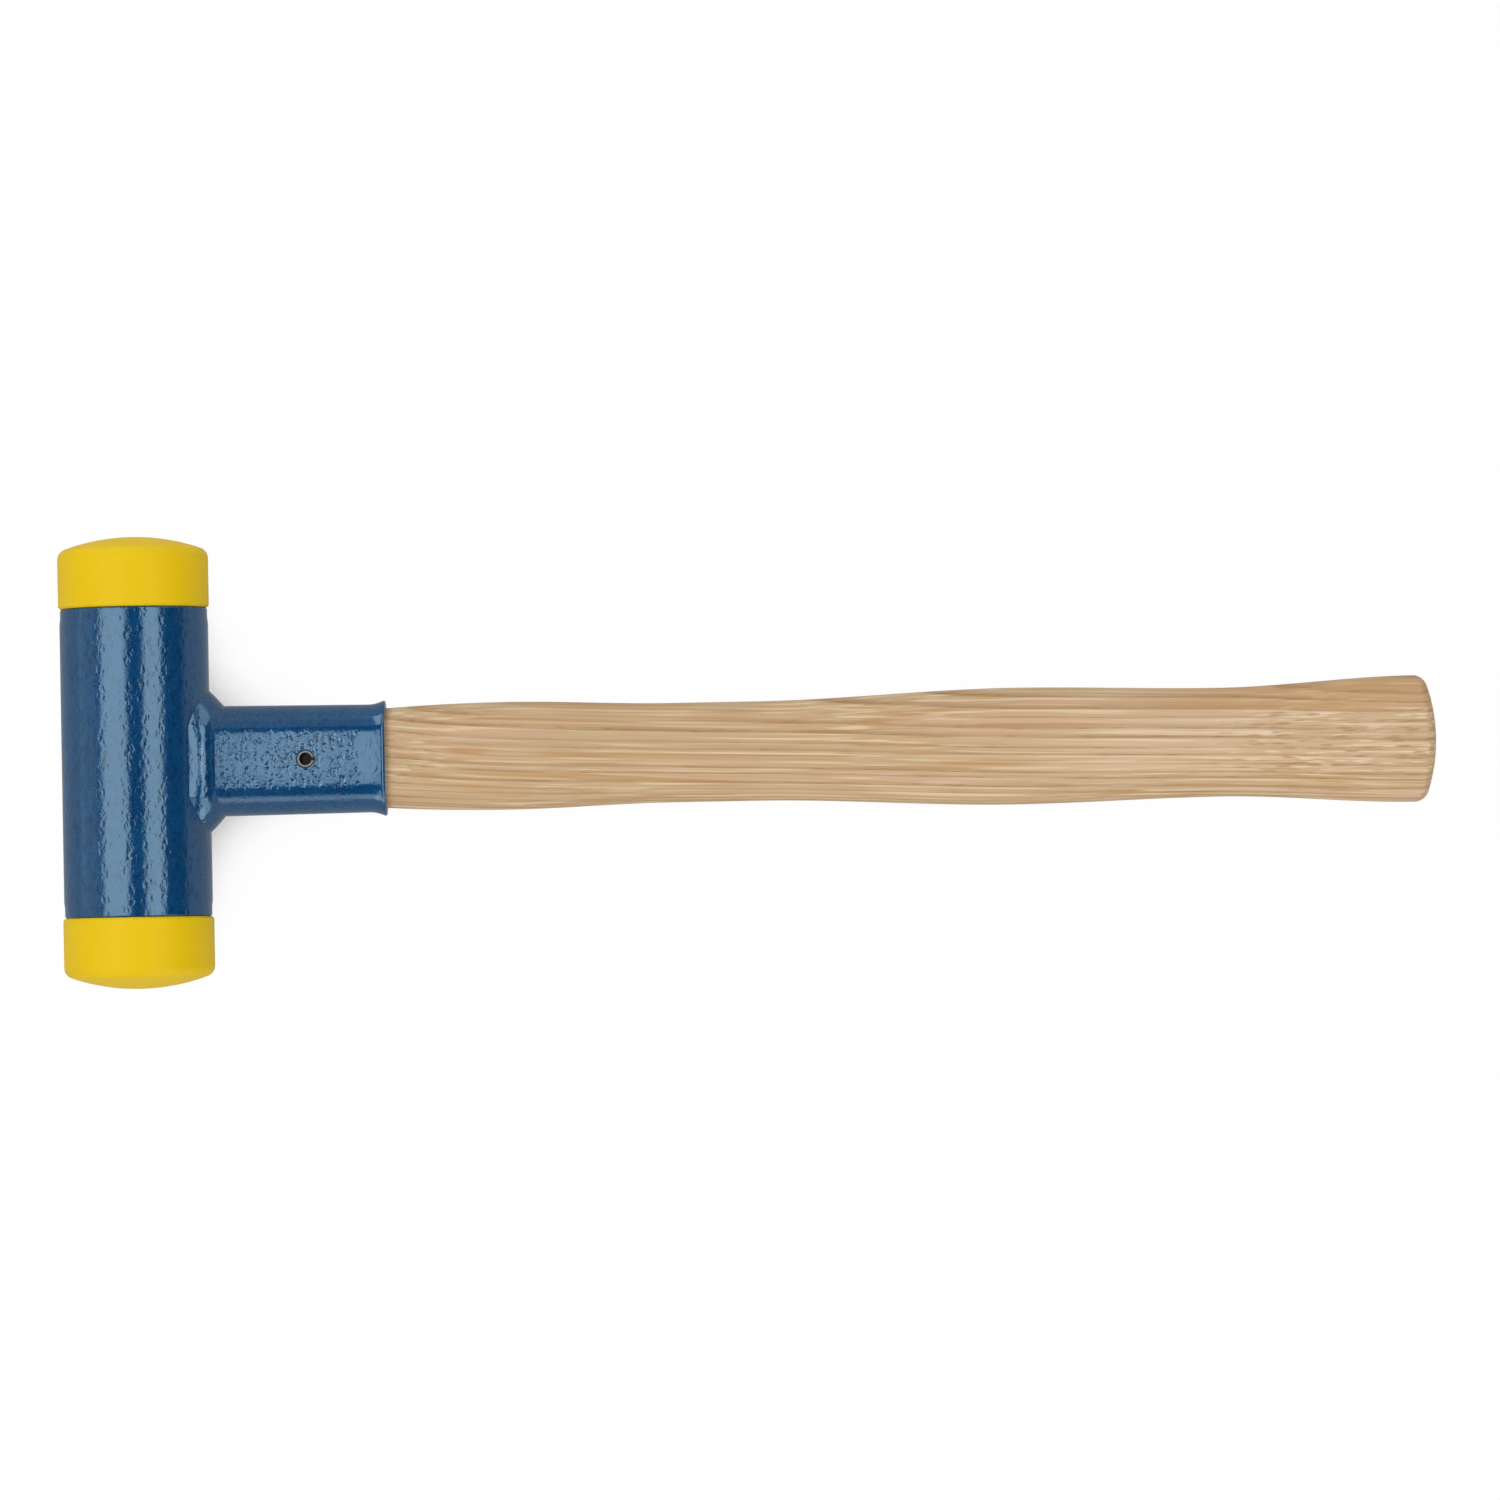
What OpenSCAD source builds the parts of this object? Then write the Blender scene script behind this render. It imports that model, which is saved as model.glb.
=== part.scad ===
// Dead blow hammer: a steel barrel half filled with loose shot, two soft striking faces
// that plug into it, a welded socket and a hickory handle held by a spring pin.
// The hammer lies on its side. X runs along the handle from the head to the butt, Y along
// the barrel and Z up. The origin is on the surface below the middle of the outline.

/* [Barrel] */
// Outside diameter of the steel barrel
barrel_d = 39.4; // [37:0.1:44]
// Length of the barrel from end to end
barrel_l = 82; // [76:1:100]
// Wall of the barrel round the shot chamber
barrel_wall = 4.2; // [3.4:0.1:5]
// Radial depth of the counterbored seat at each end
seat_step = 1; // [0.6:0.1:1.6]
// Length of the slimmer band at each end of the barrel
end_band_l = 4.2; // [3:0.1:6]
// Length of the slope down to that band
end_slope_l = 1.6; // [0.5:0.1:2]
// Radial depth of that band
end_band_depth = 0.2; // [0.05:0.05:0.4]
// Chamfer on the rims of the barrel
rim_chamfer = 0.4; // [0.2:0.1:0.8]

/* [Striking faces] */
// How far a face stands proud of the barrel all round
face_proud = 0.3; // [0:0.05:1]
// Height of a face above the end of the barrel, on the axis
face_h = 19; // [15:0.5:26]
// Radius of the crowned striking surface
face_crown_r = 54; // [40:1:100]
// Radius that rounds the edge of the striking surface
face_edge_r = 3; // [1:0.5:5]
// Chamfer at the foot of a face, beside the barrel
face_foot_chamfer = 0.6; // [0.2:0.1:1]
// Length of the stub that plugs a face into the barrel
stub_l = 14; // [11:1:18]
// Number of grip ribs round a stub
stub_ribs = 3; // [2:1:4]
// Width of one grip rib
rib_w = 1.6; // [1:0.1:2.2]
// Depth of the grooves between the grip ribs
rib_depth = 0.6; // [0.3:0.1:1]
// Radial clearance of a stub or disc in its seat
seat_fit = 0.03; // [0.02:0.01:0.06]

/* [Shot chamber] */
// Thickness of the disc that closes each end of the chamber
disc_t = 2; // [1.5:0.1:3]
// Diameter of one steel ball
ball_d = 4.5; // [4.2:0.1:6]
// Gap left round every ball
ball_gap = 0.12; // [0.1:0.01:0.2]
// Height of the level surface of the shot above the axis of the chamber
shot_level = 5.5; // [0:0.5:9]
// Free travel of the shot along the chamber, both ways together
shot_travel = 11; // [6:1:20]

/* [Socket] */
// Length of the socket from the barrel's side to its mouth
socket_l = 46.8; // [40:0.1:60]
// Width of the socket where it meets the barrel
socket_w = 29.4; // [26:0.1:32]
// Thickness of the socket across its flats, where it meets the barrel
socket_t = 21.9; // [21:0.1:24]
// Radius of the socket's round sides
socket_side_r = 12.3; // [12.1:0.1:13]
// Sheet thickness of the socket
socket_wall = 2.3; // [1.5:0.1:2.4]
// Draft of the round sides towards the mouth, in degrees
side_draft = 0.5; // [0:0.1:1]
// Draft of the flats towards the mouth, in degrees
flat_draft = 0.5; // [0:0.1:1.5]
// Length of the flared lip
lip_l = 6; // [3:0.5:10]
// How far the round sides flare outward at the lip
lip_flare = 1.3; // [0.4:0.1:1.5]
// Reach of the weld along the barrel, beside the socket's round sides
weld_reach = 4.2; // [3:0.1:5]
// Reach of the weld up the barrel, over the socket's flats
weld_flat_reach = 2.4; // [1.5:0.1:4]
// Reach of the weld along the socket
weld_leg = 3.9; // [2.5:0.1:5]
// Share of the hollow over the flats that the bead fills
weld_fill = 0.4; // [0:0.1:1]
// Bulge of the bead over a straight slope, beside the round sides
weld_bulge = 0.1; // [0.1:0.1:1]
// Bulge of the bead over a straight slope, over the flats
weld_flat_bulge = 1.6; // [0.5:0.1:2]
// Clearance between the bead and the metal that it joins
weld_fit = 0.05; // [0.03:0.01:0.1]

/* [Spring pin] */
// Outside diameter of the fitted pin
pin_d = 5; // [4.5:0.5:6]
// Bore of the hollow pin
pin_bore_d = 3.4; // [2:0.1:3.6]
// Width of the slot along the pin
pin_slot_w = 0.8; // [0.4:0.1:1.2]
// Distance of the pin from the mouth of the socket
pin_from_mouth = 21; // [15:0.5:30]
// How far each end of the pin lies below the socket's flat
pin_recess = 0.25; // [0.1:0.05:0.6]
// Chamfer on the ends of the pin
pin_chamfer = 0.4; // [0.2:0.1:0.6]
// Radial clearance of the pin in its holes
pin_fit = 0.02; // [0.01:0.01:0.05]

/* [Handle] */
// Length of the handle outside the socket
handle_l = 278.5; // [260:0.5:360]
// Clearance between the wood and the inside of the socket
tang_fit = 0.05; // [0.02:0.01:0.1]
// Space between the end of the tang and the barrel's side
tang_end_gap = 0.5; // [0.3:0.1:2]
// Width of the swell ahead of the socket
swell_w = 28.6; // [26:0.1:32]
// Thickness of the swell
swell_t = 21; // [19:0.1:24]
// Distance of the swell from the mouth
swell_from_mouth = 32.5; // [20:0.5:50]
// Width of the slim waist
waist_w = 26.4; // [23:0.1:30]
// Thickness of the waist
waist_t = 19.6; // [17:0.1:23]
// Distance from the mouth to the start of the waist
waist_from_mouth = 75.5; // [60:0.5:78]
// Distance from the end of the waist to the butt
waist_to_butt = 180; // [150:1:182]
// Width of the grip at its fullest
grip_w = 31; // [28:0.1:36]
// Thickness of the grip at its fullest
grip_t = 23.2; // [20:0.1:27]
// Distance from the fullest part of the grip to the butt
grip_to_butt = 112; // [90:1:130]
// Width of the hollow before the butt
hollow_w = 28.9; // [26:0.1:33]
// Thickness of the hollow before the butt
hollow_t = 21.8; // [19:0.1:25]
// Distance from the hollow to the butt
hollow_to_butt = 57; // [40:1:75]
// Width of the flared butt
butt_w = 33.6; // [30:0.1:38]
// Thickness of the flared butt
butt_t = 25; // [22:0.1:29]
// Radius that breaks the edge of the butt
butt_edge_r = 2.5; // [1.5:0.1:4]
// Height of the butt's crown across the handle
butt_crown_h = 3.2; // [1.5:0.1:5]
// Height of the butt's crown through the handle
butt_crown_t = 0.8; // [0.2:0.1:2]

/* [Hidden] */
$fn = 96;

hammer_blue = [0.16, 0.33, 0.48];
face_yellow = [0.92, 0.77, 0.12];
bare_steel = [0.66, 0.66, 0.64];
shot_grey = [0.52, 0.53, 0.55];
hickory_tan = [0.78, 0.65, 0.49];

// Overlap that keeps a cut clear of the face it goes through
cut = 1;

barrel_r = barrel_d / 2;
face_r = barrel_r + face_proud;
chamber_r = barrel_r - barrel_wall;
seat_r = chamber_r + seat_step;
seat_depth = stub_l + disc_t;
chamber_l = barrel_l - 2 * seat_depth;

mouth_x = barrel_r + socket_l;
handle_end_x = mouth_x + handle_l;
pin_x = mouth_x - pin_from_mouth;

// Moves the hammer from the middle of its head to the part's own origin.
lie_x = (face_r - handle_end_x) / 2;
lie_z = face_r;
module laid_down() {
    translate([lie_x, 0, lie_z]) children();
}

// Turns a profile of [radius, height] points about the barrel's axis.
module turned_on_barrel() {
    rotate([-90, 0, 0]) rotate_extrude() children();
}

// Barrel: a tube whose bore is stepped out at both ends to seat the discs and the faces.
module barrel() {
    half = barrel_l / 2;
    band_r = barrel_r - end_band_depth;
    upper_half = [
        [chamber_r, half - seat_depth], [seat_r, half - seat_depth], [seat_r, half - rim_chamfer],
        [seat_r + rim_chamfer, half], [band_r - rim_chamfer, half], [band_r, half - rim_chamfer],
        [band_r, half - end_band_l + end_slope_l], [barrel_r, half - end_band_l]
    ];
    lower_half = [for (i = [len(upper_half) - 1 : -1 : 0]) [upper_half[i][0], -upper_half[i][1]]];
    color(hammer_blue) laid_down() turned_on_barrel() polygon(concat(upper_half, lower_half));
}

// Striking face: a crowned cap with a ribbed stub, moulded in one piece. Heights start at the
// end of the barrel.
edge_x = face_r - face_edge_r;
edge_h = face_h - face_crown_r + sqrt(pow(face_crown_r - face_edge_r, 2) - pow(edge_x, 2));
crown_tangent_x = edge_x * face_crown_r / (face_crown_r - face_edge_r);

module face_cap_profile() {
    polygon([[0, 0], [face_r - face_foot_chamfer, 0], [face_r, face_foot_chamfer],
        [face_r, edge_h], [0, edge_h]]);
    translate([edge_x, edge_h]) circle(face_edge_r);
    intersection() {
        translate([0, face_h - face_crown_r]) circle(face_crown_r);
        translate([0, face_foot_chamfer]) square([crown_tangent_x, face_h]);
    }
}

module stub_profile() {
    rib_r = seat_r - seat_fit;
    core_r = rib_r - rib_depth;
    pitch = (stub_l - rib_w) / stub_ribs;
    translate([0, -stub_l]) square([core_r, stub_l + face_foot_chamfer]);
    for (i = [0 : stub_ribs - 1])
        translate([0, -stub_l + rib_w / 2 + (i + 0.5) * pitch])
            polygon([[0, -rib_w / 2 - rib_depth / 2], [core_r, -rib_w / 2 - rib_depth / 2],
                [rib_r, -rib_w / 2], [rib_r, rib_w / 2], [core_r, rib_w / 2 + rib_depth / 2],
                [0, rib_w / 2 + rib_depth / 2]]);
}

module face_insert() {
    color(face_yellow) turned_on_barrel() translate([0, barrel_l / 2]) {
        face_cap_profile();
        stub_profile();
    }
}
module face_insert_a() { laid_down() face_insert(); }
module face_insert_b() { laid_down() rotate([0, 0, 180]) face_insert(); }

// Chamber disc: a steel plate that rests on the step of the seat and keeps the shot in.
module chamber_disc() {
    disc_r = seat_r - seat_fit;
    inner = barrel_l / 2 - seat_depth;
    chamfer = rim_chamfer;
    color(bare_steel) turned_on_barrel() polygon([
        [0, inner], [disc_r - chamfer, inner], [disc_r, inner + chamfer],
        [disc_r, inner + disc_t - chamfer], [disc_r - chamfer, inner + disc_t], [0, inner + disc_t]]);
}
module chamber_disc_a() { laid_down() chamber_disc(); }
module chamber_disc_b() { laid_down() rotate([0, 0, 180]) chamber_disc(); }

// Steel shot: loose balls in close-packed layers across the barrel. They lie level in the
// lower part of the chamber and leave room to fly forward.
ball_pitch = ball_d + ball_gap;
row_pitch = ball_pitch * sqrt(3) / 2;
layer_pitch = ball_pitch * sqrt(2 / 3);
ball_reach = chamber_r - ball_d / 2 - ball_gap;
shot_layers = floor((chamber_l - shot_travel - ball_d) / layer_pitch) + 1;
rows_across = ceil(2 * ball_reach / row_pitch);
balls_across = ceil(ball_reach / ball_pitch);

// Centre of one ball, counted from the lowest row of its layer.
function ball_centre(layer, row, i) = let(odd = layer % 2) [
    (i + (row % 2) / 2 + odd / 2) * ball_pitch,
    (layer - (shot_layers - 1) / 2) * layer_pitch,
    -ball_reach + row * row_pitch + odd * ball_pitch / (2 * sqrt(3))
];

module steel_shot() {
    color(shot_grey) laid_down()
        for (layer = [0 : shot_layers - 1], row = [0 : rows_across],
                i = [-balls_across - 1 : balls_across]) {
            p = ball_centre(layer, row, i);
            if (norm([p[0], p[2]]) <= ball_reach && p[2] <= shot_level - ball_d / 2)
                translate(p) sphere(d = ball_d, $fn = 24);
        }
}

// Socket: a flattened oval tube with a flared mouth. Its section is two round sides cut by
// two flats. The same form, inset, is the bore of the socket and the tang of the handle.
side_centre = socket_w / 2 - socket_side_r;
function lip_at(x) = let(u = max(0, x - mouth_x + lip_l) / lip_l) lip_flare * u * u;
function side_r_at(x) = socket_side_r - (x - barrel_r) * tan(side_draft) + lip_at(min(x, mouth_x));
function half_t_at(x) = socket_t / 2 - (x - barrel_r) * tan(flat_draft);

lip_steps = 6;
lip_stations = [for (i = [0 : lip_steps]) mouth_x - lip_l * (1 - i / lip_steps)];

module oval_form(inset, from_x, to_x) {
    stations = concat([from_x], lip_stations, to_x > mouth_x ? [to_x] : []);
    last = stations[len(stations) - 1];
    side = concat([[0, from_x]], [for (x = stations) [side_r_at(x) - inset, x]], [[0, last]]);
    flats = concat([for (x = stations) [x, half_t_at(x) - inset]],
        [for (i = [len(stations) - 1 : -1 : 0]) [stations[i], inset - half_t_at(stations[i])]]);
    intersection() {
        union() {
            for (y = [-side_centre, side_centre])
                translate([0, y, 0]) rotate([0, 90, 0]) rotate_extrude() polygon(side);
            translate([from_x, -side_centre, -socket_t / 2])
                cube([last - from_x, 2 * side_centre, socket_t]);
        }
        rotate([90, 0, 0]) linear_extrude(2 * socket_w, center = true) polygon(flats);
    }
}

module barrel_envelope() {
    rotate([90, 0, 0]) cylinder(r = barrel_r, h = barrel_l, center = true);
}

module pin_hole() {
    translate([pin_x, 0, 0]) cylinder(d = pin_d + 2 * pin_fit, h = 2 * socket_t, center = true);
}

module handle_socket() {
    color(hammer_blue) laid_down() difference() {
        oval_form(0, 0, mouth_x);
        oval_form(socket_wall, -cut, mouth_x + cut);
        barrel_envelope();
        pin_hole();
    }
}

// One closed surface through rings of points. The first ring is a flat cap and the last ring
// closes on a single point.
module skin(rings, tip) {
    n = len(rings[0]);
    m = len(rings);
    points = concat([for (ring = rings) each ring], [tip]);
    sides = [for (j = [0 : m - 2], i = [0 : n - 1])
        let(a = j * n + i, b = j * n + (i + 1) % n) each [[a, b, b + n], [a, b + n, a + n]]];
    start = [[for (i = [n - 1 : -1 : 0]) i]];
    end = [for (i = [0 : n - 1]) [(m - 1) * n + i, (m - 1) * n + (i + 1) % n, m * n]];
    polyhedron(points, concat(start, sides, end), convexity = 6);
}

// Point of the flattened oval at angle t, for a side radius and a half thickness.
function flat_oval(t, r, b) = [sign(cos(t)) * side_centre + r * cos(t), max(-b, min(b, r * sin(t)))];

// Weld: a convex bead round the foot of the socket. A ring of its points starts at the root,
// runs up the barrel to one toe, over the bead to the toe on the socket, and back.
side_turns = 14;
flat_turns = 8;
bead_points = 6;
crease = asin(min(1, half_t_at(barrel_r) / side_r_at(barrel_r)));
weld_angles = [for (half_turn = [0, 180]) each concat(
    [for (i = [0 : side_turns - 1]) half_turn + crease * (2 * i / side_turns - 1)],
    [for (i = [0 : flat_turns - 1]) half_turn + crease + (180 - 2 * crease) * i / flat_turns])];

function on_socket(t, x) =
    let(p = flat_oval(t, side_r_at(x) + weld_fit, half_t_at(x) + weld_fit)) [x, p[0], p[1]];
function root_x(z) = sqrt(pow(barrel_r + weld_fit, 2) - z * z);

// The bead's surface is the straight slope between its toes, raised away from the root by a
// parabola.
function weld_ring(t) =
    let(
        root = on_socket(t, root_x(on_socket(t, barrel_r)[2])),
        r = barrel_r + weld_fit,
        reach = norm([weld_reach * cos(t), weld_flat_reach * sin(t)]),
        bulge = weld_bulge + (weld_flat_bulge - weld_bulge) * pow(sin(t), 2),
        root_angle = asin(root[2] / r),
        climb = sin(t) * reach / r * 180 / PI,
        along_barrel = [for (u = [0.5, 1])
            [r * cos(root_angle + u * climb), root[1] + u * reach * cos(t), r * sin(root_angle + u * climb)]],
        start = along_barrel[1],
        toe_x = root[0] * (1 - weld_fill) + barrel_r * weld_fill + weld_leg,
        slope = on_socket(t, toe_x) - start,
        away = (start - root) - slope * ((start - root) * slope) / (slope * slope),
        raised = away / norm(away) * bulge)
    concat([root, along_barrel[0]],
        [for (i = [0 : bead_points]) let(u = i / bead_points) start + slope * u + raised * 4 * u * (1 - u)]);

module socket_weld() {
    rings = [for (t = weld_angles) weld_ring(t)];
    n = len(rings[0]);
    count = len(rings) * n;
    faces = [for (j = [0 : len(rings) - 1], i = [0 : n - 1])
        let(a = j * n + i, b = j * n + (i + 1) % n)
            each [[a, b, (b + n) % count], [a, (b + n) % count, (a + n) % count]]];
    color(hammer_blue) laid_down() polyhedron([for (ring = rings) each ring], faces, convexity = 6);
}

// Spring pin: a slotted, hollow steel pin through the socket's flats and the tang.
module spring_pin() {
    r = pin_d / 2;
    half = half_t_at(pin_x) - pin_recess;
    color(bare_steel) laid_down() translate([pin_x, 0, 0]) difference() {
        rotate_extrude() polygon([[0, -half], [r - pin_chamfer, -half], [r, pin_chamfer - half],
            [r, half - pin_chamfer], [r - pin_chamfer, half], [0, half]]);
        cylinder(d = pin_bore_d, h = 2 * half + 2 * cut, center = true);
        translate([0, -pin_slot_w / 2, -half - cut]) cube([pin_d, pin_slot_w, 2 * half + 2 * cut]);
    }
}

// Handle: the tang fills the socket, then the wood swells, slims to a waist, fills out in the
// grip and flares at the butt. Each station is [x, half width, half thickness].
tang_inset = socket_wall + tang_fit;
function tang_station(x) = [x, side_centre + side_r_at(x) - tang_inset, half_t_at(x) - tang_inset];

// The butt's end is crowned, more across the handle than through it. An arc breaks its edge and
// turns until it meets the slope of the crown.
function crown_back(y, z) = butt_crown_h * pow(2 * y / butt_w, 2) + butt_crown_t * pow(2 * z / butt_t, 2);
function crown_slope(y, z) = 4 * butt_crown_h / butt_w * pow(2 * y / butt_w, 2)
    + 4 * butt_crown_t / butt_t * pow(2 * z / butt_t, 2);
function edge_turn(y, z) = 90 - atan(crown_slope(y, z));
butt_x = handle_end_x - crown_back(butt_w / 2, 0) - butt_edge_r * sin(edge_turn(butt_w / 2, 0));

shape_stations = [
    tang_station(mouth_x),
    [mouth_x + swell_from_mouth, swell_w / 2, swell_t / 2],
    [mouth_x + waist_from_mouth, waist_w / 2, waist_t / 2],
    [handle_end_x - waist_to_butt, waist_w / 2, waist_t / 2],
    [handle_end_x - grip_to_butt, grip_w / 2, grip_t / 2],
    [handle_end_x - hollow_to_butt, hollow_w / 2, hollow_t / 2],
    [butt_x, butt_w / 2, butt_t / 2]
];
// The neck leaves the socket at a slope and the other stretches are level at both ends.
neck_steps = 7;
stretch_steps = [neck_steps, 6, 1, 7, 6, 7];
function eased(stretch, u) = stretch == 0 ? 1 - (1 - u) * (1 - u) : u * u * (3 - 2 * u);
function between(stretch, u) =
    let(a = shape_stations[stretch], b = shape_stations[stretch + 1], v = eased(stretch, u))
    [a[0] + (b[0] - a[0]) * u, a[1] + (b[1] - a[1]) * v, a[2] + (b[2] - a[2]) * v];

handle_sides = 40;
oval_angles = [for (i = [0 : handle_sides - 1]) (i + 0.5) * 360 / handle_sides];
oval_power = 2.25;
function full_oval(t, a, b) = [
    a * sign(cos(t)) * pow(abs(cos(t)), 2 / oval_power),
    b * sign(sin(t)) * pow(abs(sin(t)), 2 / oval_power)];

// A ring of the handle. It is the socket's section where full is 0 and an oval where it is 1.
function handle_ring(station, full) = [for (t = oval_angles)
    let(p = flat_oval(t, station[1] - side_centre, station[2]) * (1 - full)
        + full_oval(t, station[1], station[2]) * full)
    [station[0], p[0], p[1]]];

tang_rings = [for (x = concat([barrel_r + tang_end_gap], [for (i = [0 : lip_steps - 1]) lip_stations[i]]))
    handle_ring(tang_station(x), 0)];
neck_rings = [for (i = [0 : neck_steps - 1]) handle_ring(between(0, i / neck_steps), i / neck_steps)];
body_rings = [for (s = [1 : len(stretch_steps) - 1], i = [0 : stretch_steps[s] - 1])
    handle_ring(between(s, i / stretch_steps[s]), 1)];

// Point of the butt's edge at angle t, for a share u of the arc's turn.
function edge_point(t, u) =
    let(rim = full_oval(t, butt_w / 2, butt_t / 2),
        turn = edge_turn(rim[0], rim[1]),
        inset = butt_edge_r * (1 - cos(u * turn)),
        p = full_oval(t, butt_w / 2 - inset, butt_t / 2 - inset))
    [handle_end_x - crown_back(p[0], p[1]) - butt_edge_r * (sin(turn) - sin(u * turn)), p[0], p[1]];

edge_steps = 4;
edge_rings = [for (i = [0 : edge_steps]) [for (t = oval_angles) edge_point(t, i / edge_steps)]];
crown_steps = 5;
crown_rings = [for (i = [1 : crown_steps - 1]) [for (t = oval_angles)
    let(p = edge_point(t, 1) * (1 - i / crown_steps))
    [handle_end_x - crown_back(p[1], p[2]), p[1], p[2]]]];

module handle() {
    color(hickory_tan) laid_down() difference() {
        skin(concat(tang_rings, neck_rings, body_rings, edge_rings, crown_rings), [handle_end_x, 0, 0]);
        pin_hole();
    }
}

barrel();
handle_socket();
socket_weld();
face_insert_a();
face_insert_b();
chamber_disc_a();
chamber_disc_b();
steel_shot();
spring_pin();
handle();
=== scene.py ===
import bpy
import numpy as np
from mathutils import Matrix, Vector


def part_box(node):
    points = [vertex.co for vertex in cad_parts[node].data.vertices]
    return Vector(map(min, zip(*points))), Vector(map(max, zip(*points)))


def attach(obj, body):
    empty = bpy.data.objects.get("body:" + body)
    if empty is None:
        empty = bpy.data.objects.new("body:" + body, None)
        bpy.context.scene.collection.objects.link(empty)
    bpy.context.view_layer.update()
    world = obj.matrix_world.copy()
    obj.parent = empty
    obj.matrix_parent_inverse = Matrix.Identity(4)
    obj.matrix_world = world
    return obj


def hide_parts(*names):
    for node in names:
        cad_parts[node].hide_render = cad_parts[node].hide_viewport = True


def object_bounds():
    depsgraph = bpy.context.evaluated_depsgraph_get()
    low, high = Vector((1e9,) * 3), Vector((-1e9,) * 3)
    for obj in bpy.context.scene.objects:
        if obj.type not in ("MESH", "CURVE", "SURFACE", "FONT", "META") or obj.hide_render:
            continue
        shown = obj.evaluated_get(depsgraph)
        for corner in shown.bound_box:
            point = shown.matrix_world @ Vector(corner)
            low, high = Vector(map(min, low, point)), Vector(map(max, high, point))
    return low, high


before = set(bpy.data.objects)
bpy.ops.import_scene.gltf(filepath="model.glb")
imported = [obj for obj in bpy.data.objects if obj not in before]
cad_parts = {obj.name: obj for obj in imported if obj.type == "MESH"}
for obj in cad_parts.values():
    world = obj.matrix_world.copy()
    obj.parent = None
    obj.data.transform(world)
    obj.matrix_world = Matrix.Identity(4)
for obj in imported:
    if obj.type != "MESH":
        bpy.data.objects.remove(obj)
cad_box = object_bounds()


# Barrel: a thick steel tube, counterbored at both ends to seat the discs and the faces.
# It is sprayed outside with blue hammertone enamel, and its turned bore stays bare.
mm = 0.001
barrel_low, barrel_high = (np.array(corner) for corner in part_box("barrel"))
head = (barrel_low + barrel_high) / 2
barrel_r, barrel_half = (barrel_high - barrel_low)[:2] / 2
seat_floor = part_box("chamber_disc_a")[0][1] - head[1]
barrel_wall = 4.2 * mm
seat_step = 1.0 * mm
chamber_r = barrel_r - barrel_wall
seat_r = chamber_r + seat_step
rim_chamfer = 0.4 * mm
corner_r = 0.35 * mm
end_band_l = 4.2 * mm
end_slope_l = 1.6 * mm
end_band_depth = 0.2 * mm
around = 192


def rounded(corners, radius, steps=6):
    """A closed outline with each corner cut back by radius, or by 45% of its shorter side,
    and bridged by the quadratic curve that leans on the corner."""
    corners = np.asarray(corners, dtype=float)
    back = np.roll(corners, 1, axis=0) - corners
    ahead = np.roll(corners, -1, axis=0) - corners
    back_l = np.linalg.norm(back, axis=1, keepdims=True)
    ahead_l = np.linalg.norm(ahead, axis=1, keepdims=True)
    cut = np.minimum(radius, 0.45 * np.minimum(back_l, ahead_l))
    s = np.linspace(0, 1, steps)[None, :, None]
    start = (corners + back / back_l * cut)[:, None]
    end = (corners + ahead / ahead_l * cut)[:, None]
    bridge = start * (1 - s) ** 2 + corners[:, None] * 2 * s * (1 - s) + end * s ** 2
    return bridge.reshape(-1, 2)


def turned(outline):
    """Rings about the barrel's axis: each [radius, height] of the outline becomes one circle."""
    angle = np.linspace(0, 2 * np.pi, around, endpoint=False)
    radius, height = np.asarray(outline)[:, :1], np.asarray(outline)[:, 1:]
    return np.stack([head[0] + radius * np.cos(angle), head[1] + height + 0 * angle,
                     head[2] + radius * np.sin(angle)], axis=-1)


def skin(rings, loop):
    """Quads between neighbouring closed rings. With loop the last ring joins the first.
    Without it each end closes in a fan of triangles on the middle of its ring."""
    rows, columns = rings.shape[:2]
    column = np.arange(columns)
    beside = (column + 1) % columns
    row = np.arange(rows if loop else rows - 1)[:, None] * columns
    above = (row + columns) % (rows * columns)
    quads = np.stack([row + column, row + beside, above + beside, above + column], axis=-1).reshape(-1, 4)
    points = rings.reshape(-1, 3)
    fans = np.empty((0, 3), dtype=int)
    if not loop:
        first, last, top = len(points), len(points) + 1, (rows - 1) * columns
        fans = np.vstack([np.stack([beside, column, 0 * column + first], axis=-1),
                          np.stack([top + column, top + beside, 0 * column + last], axis=-1)])
        points = np.vstack([points, rings[0].mean(axis=0), rings[-1].mean(axis=0)])
    return points, quads, fans


def add_piece(name, surface, finish, body, slot, *nodes):
    """A smooth mesh of points, quads and triangles that stands for CAD nodes. The faces are
    reversed if the volume that they close, summed over cones from the origin, is negative."""
    points, quads, fans = surface
    a, b, c = points[np.vstack([quads[:, :3], quads[:, [0, 2, 3]], fans])].transpose(1, 0, 2)
    order = 1 if np.sum(a * np.cross(b, c)) > 0 else -1
    mesh = bpy.data.meshes.new(name)
    mesh.from_pydata(points.tolist(), [], quads[:, ::order].tolist() + fans[:, ::order].tolist())
    mesh.shade_smooth()
    mesh.materials.append(finish)
    piece = bpy.data.objects.new(name, mesh)
    bpy.context.scene.collection.objects.link(piece)
    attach(piece, body)
    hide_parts(*nodes)
    return piece


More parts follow.
